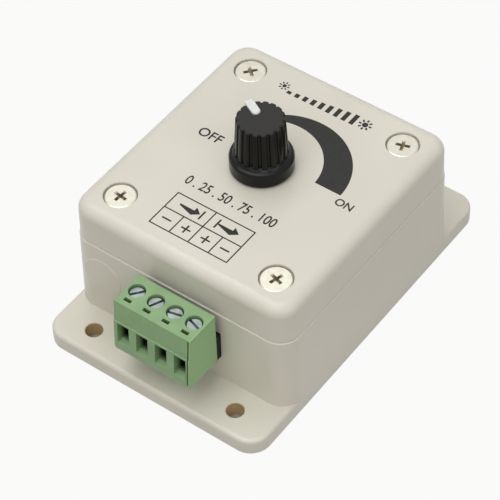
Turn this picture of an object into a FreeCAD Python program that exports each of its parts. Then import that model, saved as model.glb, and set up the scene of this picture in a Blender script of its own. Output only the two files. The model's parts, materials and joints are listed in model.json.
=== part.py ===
import FreeCAD, Part
import math
import os
from FreeCAD import Vector

# Rotary dimmer for light strips, in millimetres.
# X runs across the box, from the OFF side to the ON side of the knob.
# Y runs from the terminal end (-Y) to the back, and Z points up.
# The origin is the centre of the base plate's underside.

# Housing
box_width = 58.0
box_depth = 64.0
box_height = 34.5
parting_z = 24.5
box_corner_r = 5.0
top_edge_r = 2.8
base_draft_deg = 1.0
cover_draft_deg = 1.0
wall = 2.2
cover_thickness = 2.5
floor_thickness = 2.5
seam_bevel = 0.25
cover_set_back = 0.18
lip_height = 1.6
lip_gap = 0.15
inner_corner_r = 2.8
wall_pad_x = -20.6
wall_pad_z = 15.5
wall_pad_r = 5.0
wall_pad_rise = 0.1
wall_pad_bevel = 0.15

# Base plate
plate_length = 88.0
plate_thickness = 4.0
plate_corner_r = 5.0
plate_edge_r = 1.0
mount_inset_x = 9.5
mount_hole_r = 2.0
mount_hole_bevel = 0.2

# Cover screws and the posts that they hold
cover_screw_inset = 8.3
screw_head_r = 3.6
screw_head_rim = 0.5
screw_head_bevel = 0.3
screw_head_bevel_height = 0.15
screw_recess_r = 3.85
screw_sink = 0.3
screw_shank_r = 1.75
screw_length = 19.0
screw_point_r = 0.5
screw_point_length = 2.5
screw_hole_gap = 0.1
screw_tip_room = 1.0
screw_cross_width = 0.8
screw_cross_length = 3.4
screw_cross_depth = 1.3
screw_turns_deg = {(-1, -1): 84.0, (1, -1): 73.0, (-1, 1): 50.0, (1, 1): 18.0}
cover_post_r = 4.6
base_post_r = 4.0
post_rib = 1.4
post_rib_drop = 0.5

# Circuit board
board_underside_z = 9.2
board_thickness = 1.6
board_wall_gap = 0.7
board_post_gap = 0.6
board_post_inset_x = 7.5
board_post_inset_y = 16.5
board_post_r = 3.0
board_screw_r = 1.4
board_screw_length = 8.0
board_screw_point = 1.0
board_screw_room = 0.3
board_screw_floor = 0.8
board_screw_head_r = 2.7
board_screw_head = 1.9
board_screw_crown = 0.6
board_screw_crown_inset = 0.8
board_cross_width = 0.8
board_cross_length = 3.24
board_cross_depth = 1.1
lead_hole_gap = 0.15
lead_below_board = 1.4

# Terminal header
poles = 4
pole_pitch = 5.08
terminal_x = 1.9
header_end = 2.2
header_height = 7.6
header_depth = 12.0
header_proud = 1.8
header_wall = 0.75
header_back = 2.6
header_pin = 1.0
header_pin_height = 3.9
header_pin_reach = 1.8
header_pin_bend = 0.2
window_gap = 0.12

# Terminal plug
plug_end = 2.5
plug_height = 14.8
plug_depth = 8.7
plug_lift = 0.6
plug_face_gap = 0.1
plug_ledge_drop = 5.8
plug_bulge = 0.7
plug_ledge_depth = 0.2
plug_ledge_rise = 0.1
plug_foot_reach = 1.2
plug_foot_height = 1.2
plug_foot_bevel = 0.25
plug_tongue_gap = 0.2
plug_tongue_length = 8.3
plug_end_groove = 1.2
plug_end_groove_width = 0.35
plug_end_groove_foot = 1.2
plug_end_groove_head = 0.25
plug_end_plate = 0.45
funnel_width = 3.2
funnel_height = 6.15
funnel_depth = 0.2
funnel_below_ledge = 0.35
wire_hole_width = 2.9
wire_hole_height = 5.4
wire_hole_below_mouth = 0.25
test_slot_length = 1.9
test_slot_width = 0.85
test_slot_depth = 3.6
test_slot_set_back = 1.65

# Screw, rising clamp and contact of each pole
pole_screw_set_back = 4.85
pole_screw_head_r = 1.8
pole_screw_head = 1.5
pole_screw_bevel = 0.2
pole_screw_sink = 0.7
pole_screw_hole_gap = 0.15
pole_screw_r = 1.25
pole_screw_fit = 0.04
pole_slot_width = 0.6
pole_slot_depth = 0.8
pole_screw_turns_deg = [50.0, 64.0, 13.0, -18.0]
clamp_half_x = 1.8
clamp_half_y = 1.9
clamp_wall = 0.45
clamp_top = 1.0
clamp_foot = 0.9
clamp_gap = 0.2
clamp_opening = 3.0
clamp_travel = 2.5
contact_bar_drop = 7.6
contact_thickness = 0.8
contact_width = 2.0
contact_leaf = 0.4
contact_leaf_length = 7.2
contact_fit = 0.05
contact_gap = 0.15
contact_set_back = 0.7
contact_drop = 0.6

# Potentiometer, standing on the board under the knob
knob_x = -0.8
knob_y = 0.8
pot_can_r = 8.3
pot_can_height = 6.2
pot_can_wall = 0.4
pot_wafer_thickness = 1.4
pot_wafer_reach = 12.0
pot_wafer_width = 14.0
pot_plate = 0.8
pot_plate_inset = 0.3
pot_bush_r = 3.5
pot_bush_length = 7.0
pot_bush_bevel = 0.2
pot_thread_start = 1.0
pot_thread_pitch = 0.75
pot_thread_depth = 0.25
pot_shaft_r = 3.0
pot_shaft_fit = 0.04
pot_knurl_teeth = 18
pot_knurl_depth = 0.25
pot_knurl_length = 7.0
pot_shaft_slot = 0.9
pot_rotor_r = 6.6
pot_rotor_thickness = 2.0
pot_track_gap = 0.5
pot_wiper_thickness = 0.3
pot_wiper_inset = 0.4
pot_wiper_width = 1.6
pot_finger_width = 0.8
pot_finger_length = 1.2
pot_finger_inset = 0.3
pot_pin_pitch = 5.0
pot_pin_width = 1.2
pot_pin_thickness = 0.5
pot_pin_inset = 1.4
pot_pin_fit = 0.03
clip_thickness = 0.6
clip_r = 4.4
clip_gap = 0.15
clip_side_gap = 0.02
clip_bore_gap = 0.05
clip_groove = 0.5
clip_mouth = 3.2
cover_shaft_hole_r = 4.6

# Knob
knob_gap = 0.3
knob_height = 14.3
skirt_r = 7.2
skirt_height = 3.9
skirt_foot_r = 7.0
skirt_bevel = 0.3
skirt_edge = 0.8
skirt_edge_middle = 0.24
knob_body_foot_r = 5.95
knob_body_top_r = 5.35
knob_root = 0.8
knob_root_middle = 0.25
knob_root_inset = 0.3
knob_flutes = 18
knob_flute_depth = 0.38
knob_ridge_share = 0.6
knob_ridge_crown = 0.06
knob_hollow_r = 5.4
knob_hollow_depth = 1.6
knob_hub_wall = 1.4
knob_hub_lift = 0.3
knob_bore_gap = 0.05
knob_bore_depth = 10.5
shaft_end_gap = 1.2
knob_top_bevel = 0.3
pointer_width = 2.0
pointer_start = 1.2
pointer_overhang = 0.45
pointer_rise = 0.5
pointer_depth = 0.8
pointer_fin = 0.7
pointer_fin_lift = 0.9
pointer_fit = 0.03
pointer_angle_deg = 153.0

# Parts on the board. Centres are measured from the middle of the box, and an inset is the
# distance from a centre to the nearest side, which for the rows at the back is the back.
transistor_inset = 9.6
transistor_y = [-6.4, 6.4]
transistor_width = 10.0
transistor_body_height = 9.0
transistor_body_depth = 3.2
transistor_lift = 3.6
transistor_tab = 1.3
transistor_top_gap = 1.6
transistor_tab_lift = 0.6
transistor_tab_hole_r = 1.8
transistor_tab_hole_drop = 2.8
transistor_lead_pitch = 2.54
transistor_lead_width = 0.8
transistor_lead_depth = 0.5
large_capacitor_inset = 11.6
large_capacitor_y = -5.6
large_capacitor_size = (5.0, 16.0, 5.0)
small_capacitor_x = 11.6
small_capacitor_inset = 9.4
small_capacitor_size = (2.5, 11.0, 2.0)
capacitor_seal_height = 1.6
capacitor_seal_inset = 0.5
capacitor_lift = 0.3
capacitor_lead_r = 0.3
capacitor_crimp_height = 0.9
capacitor_crimp_half = 0.3
capacitor_crimp_depth = 0.25
capacitor_shoulder = 0.5
chip_inset = 12.6
chip_post_gap = 7.9
chip_width = 6.4
chip_length = 9.6
chip_height = 3.3
chip_lift = 0.5
chip_notch_r = 0.8
chip_notch_depth = 0.5
chip_row_leads = 4
chip_lead_pitch = 2.54
chip_lead_row = 3.81
chip_lead_width = 0.5
chip_lead_thickness = 0.25
regulator_x = 7.4
regulator_y = -13.4
regulator_r = 2.35
regulator_flat = 1.3
regulator_height = 4.6
regulator_lift = 3.0
regulator_lead_pitch = 1.27
regulator_lead_r = 0.23
power_diode_x = -6.4
power_diode_y = -13.6
power_diode_r = 2.6
power_diode_length = 9.2
power_diode_pitch = 13.0
power_diode_lead_r = 0.6
signal_diode_x = 5.6
signal_diode_insets = [15.6, 12.4]
signal_diode_r = 0.9
signal_diode_length = 3.9
signal_diode_pitch = 7.6
signal_diode_lead_r = 0.25
resistor_x = -7.6
resistor_insets = [15.2, 12.0, 8.8, 5.6]
resistor_r = 1.15
resistor_length = 6.3
resistor_pitch = 10.0
resistor_lead_r = 0.28
axial_lift = 0.3
back_ceramic_x = 3.4
back_ceramic_inset = 7.4
front_ceramic_x = -13.6
front_ceramic_y = -17.0
ceramic_r = 2.5
ceramic_thickness = 2.2
ceramic_lift = 1.2
ceramic_lead_pitch = 2.54
ceramic_lead_r = 0.25

# Allowances for cutting and joining: none of them shows on the finished part.
# A cut runs this far past the face that it opens.
past = 1.0
# One piece of a solid runs this far into the next before they are joined.
sunk = 0.5
# A short run into the neighbour, where the longer one would come out on the other side.
sunk_short = 0.1
# Two heights closer than this count as one when edges are picked.
same_height = 0.01

# Levels and places that follow from the sizes above
half_x = box_width / 2
half_y = box_depth / 2
base_taper = math.tan(math.radians(base_draft_deg))
cover_taper = math.tan(math.radians(cover_draft_deg))
foot_flare = base_taper * (parting_z - plate_thickness)
cover_screw_x = half_x - cover_screw_inset
cover_screw_y = half_y - cover_screw_inset
mount_x = half_x - mount_inset_x
mount_y = (half_y + plate_length / 2) / 2
board_post_x = half_x - board_post_inset_x
board_post_y = half_y - board_post_inset_y
screw_head_top_z = box_height - screw_sink
board_top = board_underside_z + board_thickness
cover_ceiling = box_height - cover_thickness
pole_x = [terminal_x + (i - (poles - 1) / 2) * pole_pitch for i in range(poles)]
header_front_y = -(half_y + header_proud)
header_back_y = header_front_y + header_depth
header_half = (poles - 1) * pole_pitch / 2 + header_end
header_pin_z = board_top + header_pin_height
plug_half = (poles - 1) * pole_pitch / 2 + plug_end
plug_back_y = header_front_y - plug_face_gap
plug_front_y = plug_back_y - plug_depth
plug_bottom_z = board_top + plug_lift
plug_top_z = plug_bottom_z + plug_height
plug_ledge_z = plug_top_z - plug_ledge_drop
pole_screw_y = plug_front_y + pole_screw_set_back
pole_screw_top_z = plug_top_z - pole_screw_sink
contact_top_z = plug_top_z - contact_bar_drop
contact_under_z = contact_top_z - contact_thickness
clamp_top_z = contact_top_z + contact_fit + clamp_top
clamp_bottom_z = contact_under_z - clamp_opening - clamp_foot
chamber_half_x = clamp_half_x + clamp_gap
chamber_half_y = clamp_half_y + clamp_gap
pot_wafer_z = board_top + pot_can_height
pot_plate_z = pot_wafer_z + pot_wafer_thickness
pot_face_z = pot_plate_z + pot_plate
pot_bush_top_z = pot_face_z + pot_bush_length
pot_rotor_z = pot_wafer_z - pot_track_gap - pot_wiper_thickness - pot_rotor_thickness
knob_bottom_z = box_height + knob_gap
skirt_top_z = knob_bottom_z + skirt_height
knob_top_z = knob_bottom_z + knob_height
shaft_top_z = knob_bottom_z + knob_bore_depth - shaft_end_gap
knurl_z = shaft_top_z - pot_knurl_length
transistor_x = transistor_inset - half_x
chip_x = half_x - chip_inset
chip_y = board_post_y - chip_post_gap


def block(x0, x1, y0, y1, z0, z1):
    return Part.makeBox(x1 - x0, y1 - y0, z1 - z0, Vector(x0, y0, z0))


def rod(x, y, z0, z1, r):
    return Part.makeCylinder(r, z1 - z0, Vector(x, y, z0))


def cone(x, y, z0, z1, r0, r1):
    return Part.makeCone(r0, r1, z1 - z0, Vector(x, y, z0))


def flat_face(points):
    """A flat face inside straight lines from point to point."""
    return Part.Face(Part.makePolygon(points + points[:1]))


def rounded_outline(hx, hy, r, z):
    """A rectangle's outline with round corners, centred on the Z axis."""
    arcs = []
    for quarter, (sx, sy) in enumerate([(1, 1), (-1, 1), (-1, -1), (1, -1)]):
        centre = Vector(sx * (hx - r), sy * (hy - r), z)
        angles = [(quarter + share) * math.pi / 2 for share in (0, 0.5, 1)]
        arcs.append(Part.Arc(*[centre + Vector(math.cos(a), math.sin(a), 0) * r for a in angles]))
    edges = []
    for arc, following in zip(arcs, arcs[1:] + arcs[:1]):
        edges.append(arc.toShape())
        edges.append(Part.makeLine(arc.EndPoint, following.StartPoint))
    return Part.Wire(edges)


def tapered_block(sections):
    """A solid through sections of (half width, half depth, corner radius, height)."""
    return Part.makeLoft([rounded_outline(*section) for section in sections], True, True)


def turned(profile, x, y):
    """A closed profile of (radius, height) points, turned about a vertical axis."""
    face = flat_face([Vector(r, 0, z) for r, z in profile])
    solid = face.revolve(Vector(0, 0, 0), Vector(0, 0, 1), 360)
    solid.translate(Vector(x, y, 0))
    return solid


def spun(shape, x, y, degrees):
    """The shape turned about the vertical axis through x, y."""
    result = shape.copy()
    result.rotate(Vector(x, y, 0), Vector(0, 0, 1), degrees)
    return result


def joined(shapes):
    solid = shapes[0].fuse(shapes[1:])
    return solid.removeSplitter()


def top_edges(solid, z):
    return [edge for edge in solid.Edges if min(v.Z for v in edge.Vertexes) > z - same_height]


def corners(x, y):
    """The four places at plus and minus x and y, each with its signs."""
    return [(sx, sy, sx * x, sy * y) for sy in (-1, 1) for sx in (-1, 1)]


def save(node, shapes):
    solids = [solid for shape in shapes for solid in shape.Solids]
    shape = solids[0] if len(solids) == 1 else Part.makeCompound(solids)
    shape.exportStep(f"parts/{node}.step")
    valid = all(solid.isValid() for solid in solids)
    print(f"{node}: {len(solids)} solids, {shape.Volume:.1f} mm3, valid {valid}")


# Base housing


def base_outside():
    plate = tapered_block([
        (half_x + foot_flare, plate_length / 2, plate_corner_r, 0),
        (half_x + foot_flare, plate_length / 2, plate_corner_r, plate_thickness),
    ])
    plate = plate.makeFillet(plate_edge_r, top_edges(plate, plate_thickness))
    foot = (half_x + foot_flare, half_y + foot_flare, box_corner_r)
    rim_flare = base_taper * seam_bevel
    walls = tapered_block([
        (*foot, 0),
        (*foot, plate_thickness),
        (half_x + rim_flare, half_y + rim_flare, box_corner_r, parting_z - seam_bevel),
        (half_x - seam_bevel, half_y - seam_bevel, box_corner_r - seam_bevel, parting_z),
    ])
    return joined([plate, walls])


def base_hollow():
    flare = base_taper * (parting_z - floor_thickness)
    return tapered_block([
        (half_x - wall + flare, half_y - wall + flare, inner_corner_r, floor_thickness),
        (half_x - wall, half_y - wall, inner_corner_r, parting_z + past),
    ])


def lip_step():
    """The step round the rim that takes the cover's lip, left whole where the posts stand."""
    inset = wall / 2
    step = tapered_block([
        (half_x - inset, half_y - inset, box_corner_r - inset, parting_z - lip_height),
        (half_x - inset, half_y - inset, box_corner_r - inset, parting_z + past),
    ])
    posts = [rod(x, y, 0, parting_z, base_post_r) for sx, sy, x, y in corners(cover_screw_x, cover_screw_y)]
    return step.cut(posts)


def header_window():
    half = header_half + window_gap
    return block(terminal_x - half, terminal_x + half, header_front_y, -half_y + wall + header_wall,
                 board_top - window_gap, board_top + header_height + window_gap)


def wall_pad():
    """The faint round pad on the front wall, with a bevelled edge. It follows the wall's draft."""
    draft = math.radians(base_draft_deg)
    outward = Vector(0, -math.cos(draft), math.sin(draft))
    wall_y = -half_y - base_taper * (parting_z - wall_pad_z)
    foot = Vector(wall_pad_x, wall_y, wall_pad_z) - outward * wall_pad_rise
    return Part.makeCone(wall_pad_r + 2 * wall_pad_bevel, wall_pad_r, 2 * wall_pad_rise, foot, outward)


def base_posts():
    posts = []
    foot = floor_thickness - sunk
    for sx, sy, x, y in corners(cover_screw_x, cover_screw_y):
        reach = sx * (half_x - wall / 2)
        posts.append(rod(x, y, foot, parting_z, base_post_r))
        posts.append(block(min(x, reach), max(x, reach), y - post_rib / 2, y + post_rib / 2,
                           foot, parting_z - lip_height - post_rib_drop))
    for sx, sy, x, y in corners(board_post_x, board_post_y):
        posts.append(rod(x, y, foot, board_underside_z, board_post_r))
    return posts


def base_holes():
    holes = []
    for sx, sy, x, y in corners(cover_screw_x, cover_screw_y):
        hole_floor = screw_head_top_z - screw_length - screw_tip_room
        holes.append(rod(x, y, hole_floor, parting_z + past, screw_shank_r + screw_hole_gap))
    for sx, sy, x, y in corners(board_post_x, board_post_y):
        hole_floor = max(board_top - board_screw_length - board_screw_room, board_screw_floor)
        holes.append(rod(x, y, hole_floor, board_underside_z + past, board_screw_r + screw_hole_gap))
    for sx, sy, x, y in corners(mount_x, mount_y):
        holes.append(rod(x, y, -past, plate_thickness + past, mount_hole_r))
        holes.append(cone(x, y, plate_thickness - mount_hole_bevel, plate_thickness,
                          mount_hole_r, mount_hole_r + mount_hole_bevel))
    return holes


def base_housing():
    shell = base_outside().cut([base_hollow()])
    shell = joined([shell, wall_pad()] + base_posts())
    return shell.cut([lip_step(), header_window()] + base_holes())


# Cover


def cover_outside():
    """The cover stands a little inside the base's rim, which shows as a fine ledge all round."""
    rim_x = half_x - cover_set_back
    rim_y = half_y - cover_set_back
    rim_r = box_corner_r - cover_set_back
    inset = cover_taper * (box_height - parting_z)
    solid = tapered_block([
        (rim_x - seam_bevel, rim_y - seam_bevel, rim_r - seam_bevel, parting_z),
        (rim_x, rim_y, rim_r, parting_z + seam_bevel),
        (rim_x - inset, rim_y - inset, rim_r, box_height),
    ])
    return solid.makeFillet(top_edge_r, top_edges(solid, box_height))


def cover_lip():
    inset = wall / 2 + lip_gap
    foot = parting_z - lip_height + lip_gap
    ring = tapered_block([
        (half_x - inset, half_y - inset, box_corner_r - inset, foot),
        (half_x - inset, half_y - inset, box_corner_r - inset, parting_z + past),
    ])
    hollow = tapered_block([
        (half_x - wall, half_y - wall, inner_corner_r, foot - past),
        (half_x - wall, half_y - wall, inner_corner_r, parting_z + 2 * past),
    ])
    return ring.cut([hollow])


def cover_hollow():
    inset = cover_taper * (cover_ceiling - parting_z)
    return tapered_block([
        (half_x - wall, half_y - wall, inner_corner_r, parting_z - past),
        (half_x - wall - inset, half_y - wall - inset, inner_corner_r, cover_ceiling),
    ])


def cover_screw_holes(x, y):
    """The round recess, the cone under the head and the hole for the shank."""
    shank = screw_shank_r + screw_hole_gap
    cone_top = screw_head_top_z - screw_head_rim
    cone_bottom = cone_top - (screw_recess_r - shank)
    return [rod(x, y, cone_top, box_height + past, screw_recess_r),
            cone(x, y, cone_bottom, cone_top, shank, screw_recess_r),
            rod(x, y, parting_z - past, cone_bottom + sunk_short, shank)]


def cover():
    places = corners(cover_screw_x, cover_screw_y)
    posts = [rod(x, y, parting_z, cover_ceiling + sunk, cover_post_r) for sx, sy, x, y in places]
    holes = [hole for sx, sy, x, y in places for hole in cover_screw_holes(x, y)]
    shaft_hole = rod(knob_x, knob_y, parting_z, box_height + past, cover_shaft_hole_r)
    shell = cover_outside().cut([cover_hollow()])
    return joined([shell, cover_lip()] + posts).cut(holes + [shaft_hole])


def cross_recess(x, y, top, width, length, depth):
    """A cross that narrows to half its length at its floor."""
    arms = [block(x - length / 2, x + length / 2, y - width / 2, y + width / 2, top - depth, top + past),
            block(x - width / 2, x + width / 2, y - length / 2, y + length / 2, top - depth, top + past)]
    return joined(arms).common(cone(x, y, top - depth, top + same_height, length / 4, length / 2))


def cover_screw(sx, sy):
    x, y = sx * cover_screw_x, sy * cover_screw_y
    top = screw_head_top_z
    rim = top - screw_head_rim
    neck = rim - (screw_head_r - screw_shank_r)
    tip = top - screw_length
    profile = [(0, tip), (screw_point_r, tip), (screw_shank_r, tip + screw_point_length),
               (screw_shank_r, neck), (screw_head_r, rim), (screw_head_r, top - screw_head_bevel_height),
               (screw_head_r - screw_head_bevel, top), (0, top)]
    cross = cross_recess(x, y, top, screw_cross_width, screw_cross_length, screw_cross_depth)
    return turned(profile, x, y).cut([spun(cross, x, y, screw_turns_deg[(sx, sy)])])


# Circuit board


def board_screw(x, y):
    top = board_top + board_screw_head
    tip = board_top - board_screw_length
    profile = [(0, tip), (board_screw_r, tip + board_screw_point), (board_screw_r, board_top),
               (board_screw_head_r, board_top), (board_screw_head_r, top - board_screw_crown),
               (board_screw_head_r - board_screw_crown_inset, top), (0, top)]
    cross = cross_recess(x, y, top, board_cross_width, board_cross_length, board_cross_depth)
    return turned(profile, x, y).cut([cross])


def lead_hole(lead):
    """The round hole in the board for one lead, clear of its corners or of its round side."""
    inside = lead.common(block(-half_x, half_x, -half_y, half_y, board_underside_z, board_top))
    centre = inside.BoundBox.Center
    r = max(math.hypot(v.X - centre.x, v.Y - centre.y) for v in inside.Vertexes)
    return rod(centre.x, centre.y, board_underside_z - past, board_top + past, r + lead_hole_gap)


def circuit_board(leads):
    flare = base_taper * (parting_z - board_top)
    reach_x = half_x - wall + flare - board_wall_gap
    reach_y = half_y - wall + flare - board_wall_gap
    notch_x = cover_screw_x - base_post_r - board_post_gap
    notch_y = cover_screw_y - base_post_r - board_post_gap
    board = block(-reach_x, reach_x, -reach_y, reach_y, board_underside_z, board_top)
    notches = [block(min(sx * notch_x, sx * half_x), max(sx * notch_x, sx * half_x),
                     min(sy * notch_y, sy * half_y), max(sy * notch_y, sy * half_y),
                     board_underside_z - past, board_top + past) for sx, sy, x, y in corners(1, 1)]
    screw_holes = [rod(x, y, board_underside_z - past, board_top + past, board_screw_r + lead_hole_gap)
                   for sx, sy, x, y in corners(board_post_x, board_post_y)]
    return board.cut(notches + screw_holes + [lead_hole(lead) for lead in leads])


# Terminal header


def terminal_header():
    inner = header_half - header_wall
    socket_back = header_back_y - header_back
    shell = block(terminal_x - header_half, terminal_x + header_half, header_front_y, header_back_y,
                  board_top, board_top + header_height)
    socket = block(terminal_x - inner, terminal_x + inner, header_front_y - past, socket_back,
                   board_top + header_wall, board_top + header_height - header_wall)
    half = header_pin / 2 + contact_fit
    pin_holes = [block(x - half, x + half, socket_back - past, header_back_y + past,
                       header_pin_z - half, header_pin_z + half) for x in pole_x]
    return shell.cut([socket] + pin_holes)


def header_pin_solid(x):
    half = header_pin / 2
    bend = header_back_y + header_pin_bend
    flat = block(x - half, x + half, header_front_y + header_pin_reach, bend + header_pin,
                 header_pin_z - half, header_pin_z + half)
    down = block(x - half, x + half, bend, bend + header_pin,
                 board_underside_z - lead_below_board, header_pin_z)
    return joined([flat, down])


# Terminal plug


def plug_profile():
    """The side view: the front swells out to the ledge and on to the foot, which is bevelled."""
    foot_y = plug_front_y - plug_foot_reach
    ledge_y = plug_front_y - plug_bulge
    outline = [(foot_y + plug_foot_bevel, plug_bottom_z), (foot_y, plug_bottom_z + plug_foot_height),
               (ledge_y, plug_ledge_z), (ledge_y + plug_ledge_depth, plug_ledge_z + plug_ledge_rise),
               (plug_front_y, plug_top_z), (plug_back_y, plug_top_z), (plug_back_y, plug_bottom_z)]
    face = flat_face([Vector(terminal_x - plug_half, y, z) for y, z in outline])
    return face.extrude(Vector(2 * plug_half, 0, 0))


def plug_tongue():
    half = header_half - header_wall - plug_tongue_gap
    edge = header_wall + plug_tongue_gap
    return block(terminal_x - half, terminal_x + half, plug_back_y - sunk, plug_back_y + plug_tongue_length,
                 board_top + edge, board_top + header_height - edge)


def wire_funnel(x):
    """The square mouth in the front that narrows to the wire hole."""
    mouth_top = plug_ledge_z - funnel_below_ledge
    hole_top = mouth_top - wire_hole_below_mouth
    hole_bottom = hole_top - wire_hole_height
    hole_half = wire_hole_width / 2
    chamber_y = pole_screw_y - chamber_half_y

    def frame_at(y, half, z0, z1):
        corner_points = [Vector(x + side * half, y, z) for side, z in ((-1, z0), (1, z0), (1, z1), (-1, z1))]
        return Part.makePolygon(corner_points + corner_points[:1])

    mouth = frame_at(plug_front_y - plug_foot_reach - sunk_short, funnel_width / 2,
                     mouth_top - funnel_height, mouth_top)
    throat = frame_at(plug_front_y + funnel_depth, hole_half, hole_bottom, hole_top)
    tunnel = block(x - hole_half, x + hole_half, plug_front_y + funnel_depth - sunk_short,
                   chamber_y + sunk_short, hole_bottom, hole_top)
    return [Part.makeLoft([mouth, throat], True, True), tunnel]


def plug_cuts(x):
    """Everything cut out of the plug for one pole."""
    chamber = block(x - chamber_half_x, x + chamber_half_x, pole_screw_y - chamber_half_y,
                    pole_screw_y + chamber_half_y, clamp_bottom_z - clamp_gap,
                    clamp_top_z + clamp_travel + clamp_gap)
    head_seat = pole_screw_top_z - pole_screw_head - contact_fit
    screw_hole = joined([
        rod(x, pole_screw_y, head_seat, plug_top_z + past, pole_screw_head_r + pole_screw_hole_gap),
        rod(x, pole_screw_y, contact_top_z, head_seat, pole_screw_r + pole_screw_hole_gap),
    ])
    channel_half = contact_width / 2 + contact_gap
    channel_front = pole_screw_y + chamber_half_y - sunk_short
    socket_half = header_pin / 2 + contact_leaf + contact_gap
    drop = block(x - channel_half, x + channel_half, channel_front,
                 pole_screw_y + chamber_half_y + contact_set_back + contact_gap,
                 header_pin_z - socket_half, contact_top_z + contact_gap)
    socket = block(x - channel_half, x + channel_half, channel_front,
                   plug_back_y + plug_tongue_length + past,
                   header_pin_z - socket_half, header_pin_z + socket_half)
    slot_y = plug_front_y + test_slot_set_back
    test_slot = block(x - test_slot_length / 2, x + test_slot_length / 2, slot_y - test_slot_width / 2,
                      slot_y + test_slot_width / 2, plug_top_z - test_slot_depth, plug_top_z + past)
    return wire_funnel(x) + [chamber, screw_hole, drop, socket, test_slot]


def end_groove():
    """The upright groove beside the right end plate, which stops short of the plug's foot and top."""
    x = terminal_x + plug_half - plug_end_plate - plug_end_groove_width / 2
    front = [(plug_front_y - plug_foot_reach, plug_bottom_z + plug_end_groove_foot),
             (plug_front_y - plug_bulge, plug_ledge_z), (plug_front_y, plug_top_z - plug_end_groove_head)]
    outer = [Vector(x, y - sunk, z) for y, z in front]
    inner = [Vector(x, y + plug_end_groove, z) for y, z in reversed(front)]
    return flat_face(outer + inner).extrude(Vector(plug_end_groove_width, 0, 0))


def plug_housing():
    solid = joined([plug_profile(), plug_tongue()])
    cuts = [cut for x in pole_x for cut in plug_cuts(x)]
    return solid.cut(cuts + [end_groove()])


def pole_screw(x, degrees):
    top = pole_screw_top_z
    tip = contact_top_z + contact_fit
    neck = top - pole_screw_head
    profile = [(0, tip), (pole_screw_r, tip), (pole_screw_r, neck), (pole_screw_head_r, neck),
               (pole_screw_head_r, top - pole_screw_bevel), (pole_screw_head_r - pole_screw_bevel, top),
               (0, top)]
    slot = block(x - pole_screw_head_r, x + pole_screw_head_r, pole_screw_y - pole_slot_width / 2,
                 pole_screw_y + pole_slot_width / 2, top - pole_slot_depth, top + past)
    return turned(profile, x, pole_screw_y).cut([spun(slot, x, pole_screw_y, degrees)])


def wire_clamp(x):
    """A square sleeve, open to the front and back, that climbs the screw and lifts the wire."""
    y = pole_screw_y
    window_half = clamp_half_x - clamp_wall
    body = block(x - clamp_half_x, x + clamp_half_x, y - clamp_half_y, y + clamp_half_y,
                 clamp_bottom_z, clamp_top_z)
    window = block(x - window_half, x + window_half, y - clamp_half_y - past, y + clamp_half_y + past,
                   clamp_bottom_z + clamp_foot, clamp_top_z - clamp_top)
    thread = rod(x, y, clamp_bottom_z + clamp_foot, clamp_top_z + past, pole_screw_r + pole_screw_fit)
    return body.cut([window, thread])


def plug_contact(x):
    """A bar that the wire is pressed to, a drop plate, and two leaves that grip the pin."""
    half = contact_width / 2
    rear = pole_screw_y + chamber_half_y + contact_set_back
    pin_half = header_pin / 2 + contact_fit
    leaf_bottom = header_pin_z - pin_half - contact_leaf
    bar = block(x - half, x + half, pole_screw_y - clamp_half_y, rear, contact_under_z, contact_top_z)
    drop = block(x - half, x + half, rear - contact_drop, rear, leaf_bottom, contact_top_z)
    leaves = [block(x - half, x + half, rear - sunk_short, rear + contact_leaf_length, z, z + contact_leaf)
              for z in (leaf_bottom, header_pin_z + pin_half)]
    return joined([bar, drop] + leaves)


# Potentiometer


def pot_can():
    inner_r = pot_can_r - pot_can_wall
    outer = rod(knob_x, knob_y, board_top, pot_wafer_z, pot_can_r)
    return outer.cut([rod(knob_x, knob_y, board_top + pot_can_wall, pot_wafer_z + past, inner_r)])


def pot_wafer():
    half = pot_wafer_width / 2
    disc = rod(knob_x, knob_y, pot_wafer_z, pot_plate_z, pot_can_r)
    tongue = block(knob_x - half, knob_x + half, knob_y, knob_y + pot_wafer_reach, pot_wafer_z, pot_plate_z)
    hole = rod(knob_x, knob_y, pot_wafer_z - past, pot_plate_z + past, pot_bush_r)
    pins = [block(*pin_footprint(i, pot_pin_fit), pot_wafer_z - past, pot_plate_z + past) for i in (-1, 0, 1)]
    return joined([disc, tongue]).cut([hole] + pins)


def pin_footprint(index, grow):
    """The sides of one pin, seen from above, each moved out by grow."""
    x = knob_x + index * pot_pin_pitch
    y = knob_y + pot_wafer_reach - pot_pin_inset
    half_width = pot_pin_width / 2 + grow
    half_depth = pot_pin_thickness / 2 + grow
    return x - half_width, x + half_width, y - half_depth, y + half_depth


def pot_pin(index):
    return block(*pin_footprint(index, 0), board_underside_z - lead_below_board, pot_plate_z)


def pot_bushing():
    """The front plate and the threaded neck, drawn with its thread as shallow rings."""
    bore = pot_shaft_r + pot_shaft_fit
    plate_r = pot_can_r - pot_plate_inset
    thread_length = pot_bush_length - pot_thread_start - 2 * pot_bush_bevel
    groove_half = pot_thread_pitch / 3
    profile = [(bore, pot_plate_z), (plate_r, pot_plate_z), (plate_r, pot_face_z), (pot_bush_r, pot_face_z)]
    for i in range(int(thread_length / pot_thread_pitch)):
        z = pot_face_z + pot_thread_start + i * pot_thread_pitch
        profile += [(pot_bush_r, z), (pot_bush_r - pot_thread_depth, z + groove_half),
                    (pot_bush_r, z + 2 * groove_half)]
    profile += [(pot_bush_r - pot_bush_bevel, pot_bush_top_z), (bore, pot_bush_top_z)]
    return turned(profile, knob_x, knob_y)


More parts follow.
